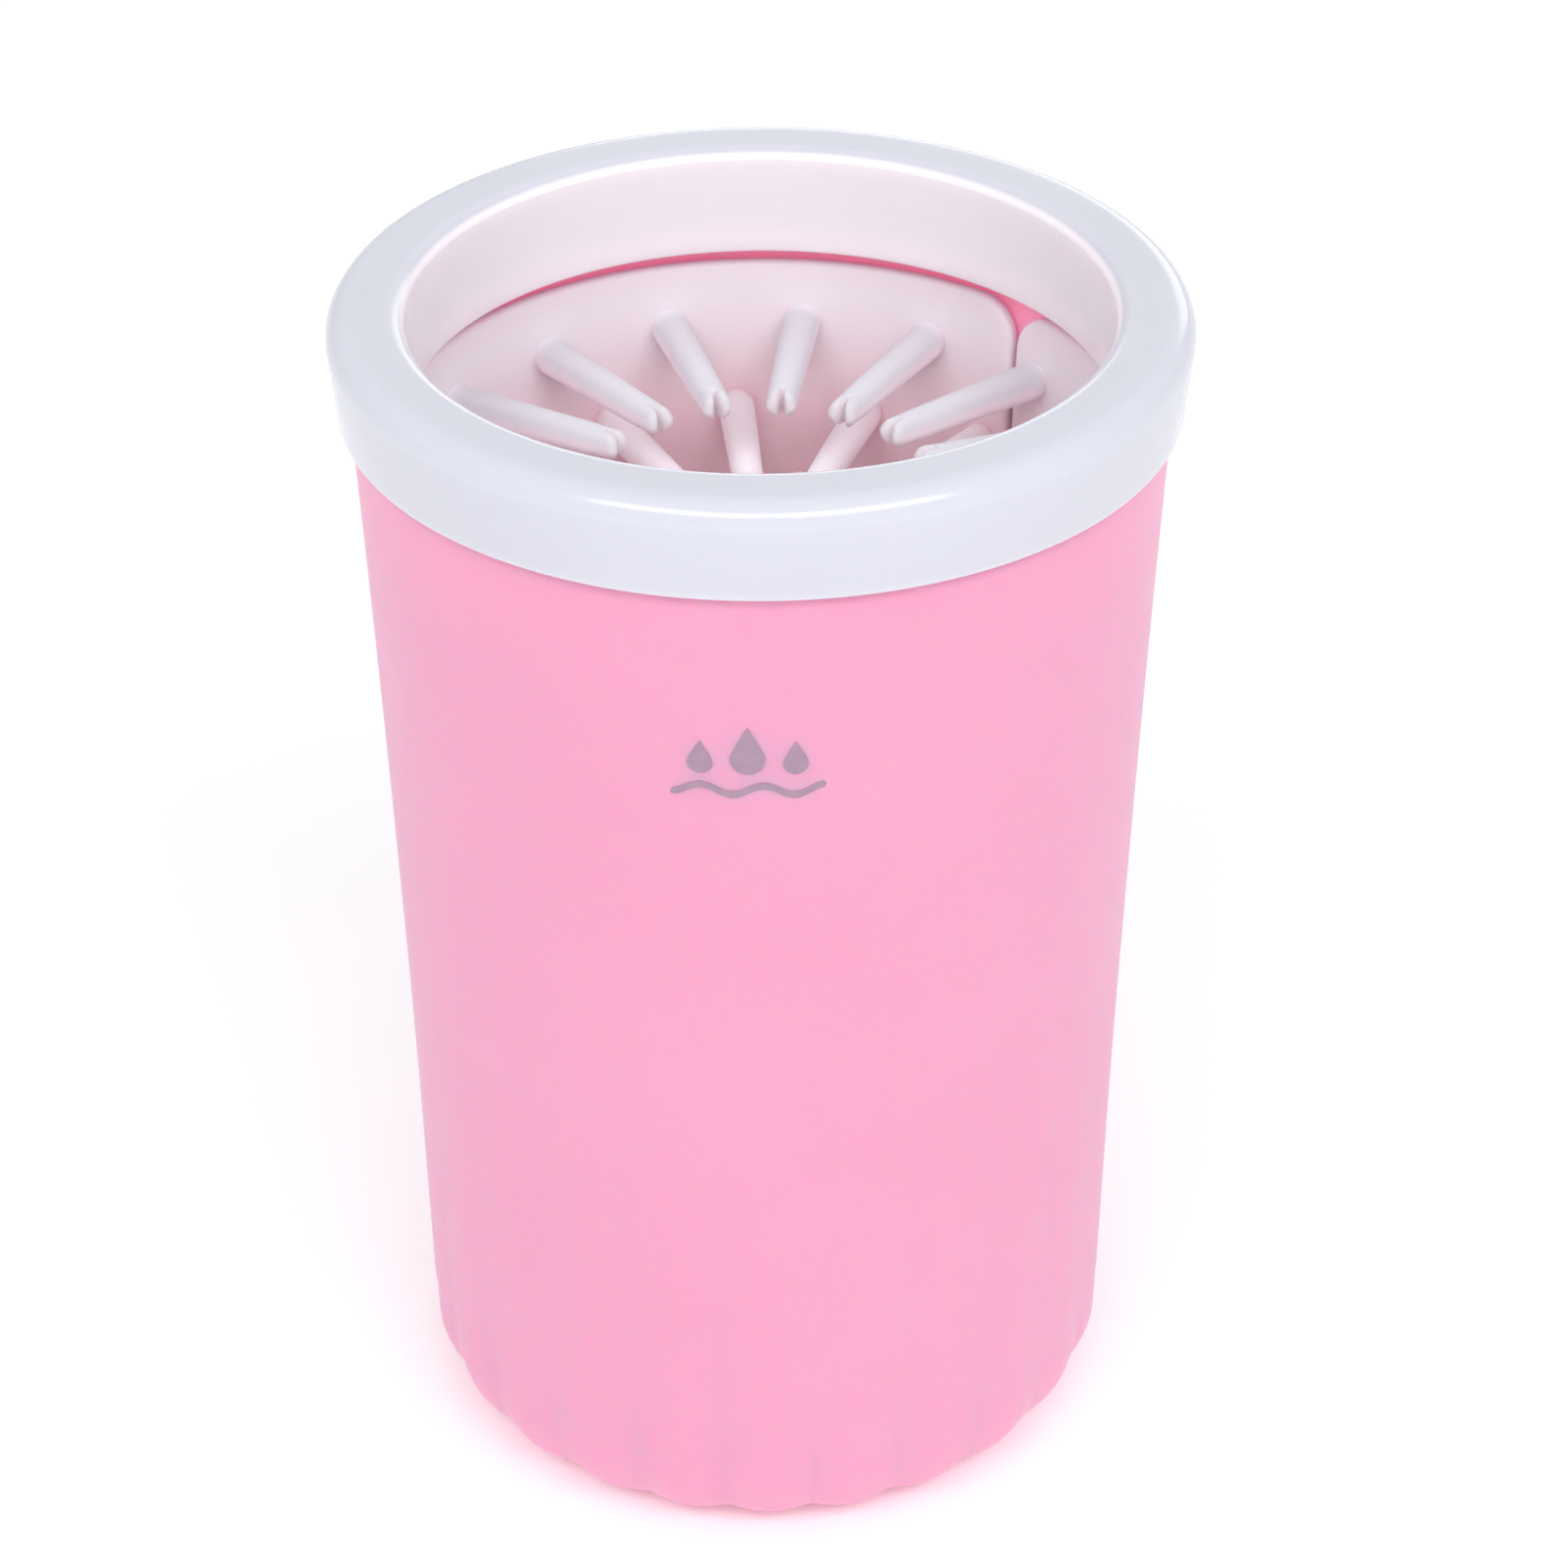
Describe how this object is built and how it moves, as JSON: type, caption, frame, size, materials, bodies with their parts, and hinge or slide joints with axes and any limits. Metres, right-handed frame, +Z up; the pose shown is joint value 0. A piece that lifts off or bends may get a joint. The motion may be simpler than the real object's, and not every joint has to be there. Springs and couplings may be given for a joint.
{
  "type": "paw washer cup",
  "caption": "Tapered round cup with a fluted foot, a push-on glossy collar and a soft split bristle brush inside for washing a dog's paw.",
  "frame": {"origin": "centre of the foot ring, on the surface that the cup stands on", "axes": "+Z up along the cup's axis, -Y towards the front, where the printed mark is, +X to the right seen from the front"},
  "size_m": [0.098, 0.098, 0.1502],
  "materials": {
    "cup": "satin, slightly translucent pink polypropylene",
    "collar": "glossy white",
    "seal": "matte white silicone",
    "brush": "matte, slightly translucent white silicone"
  },
  "bodies": {
    "cup": {"cup_body": "cup"},
    "collar": {"collar": "collar", "collar_seal": "seal"},
    "back_panel": {"back_brush_sheet": "brush", "back_bristles": "brush"},
    "front_panel": {"front_brush_sheet": "brush", "front_bristles": "brush"}
  },
  "joints": [
    {"name": "collar_lift", "type": "slide", "parent": "cup", "child": "collar", "axis": [0, 0, 1], "range_m": [0, 0.28]},
    {"name": "back_panel_lift", "type": "slide", "parent": "cup", "child": "back_panel", "axis": [0, 0, 1], "range_m": [0, 0.14]},
    {"name": "front_panel_lift", "type": "slide", "parent": "cup", "child": "front_panel", "axis": [0, 0, 1], "range_m": [0, 0.14]}
  ],
  "couplings": [
    {"joint": "back_panel_lift", "follows": "collar_lift", "ratio": 0.5},
    {"joint": "front_panel_lift", "follows": "collar_lift", "ratio": 0.5}
  ]
}
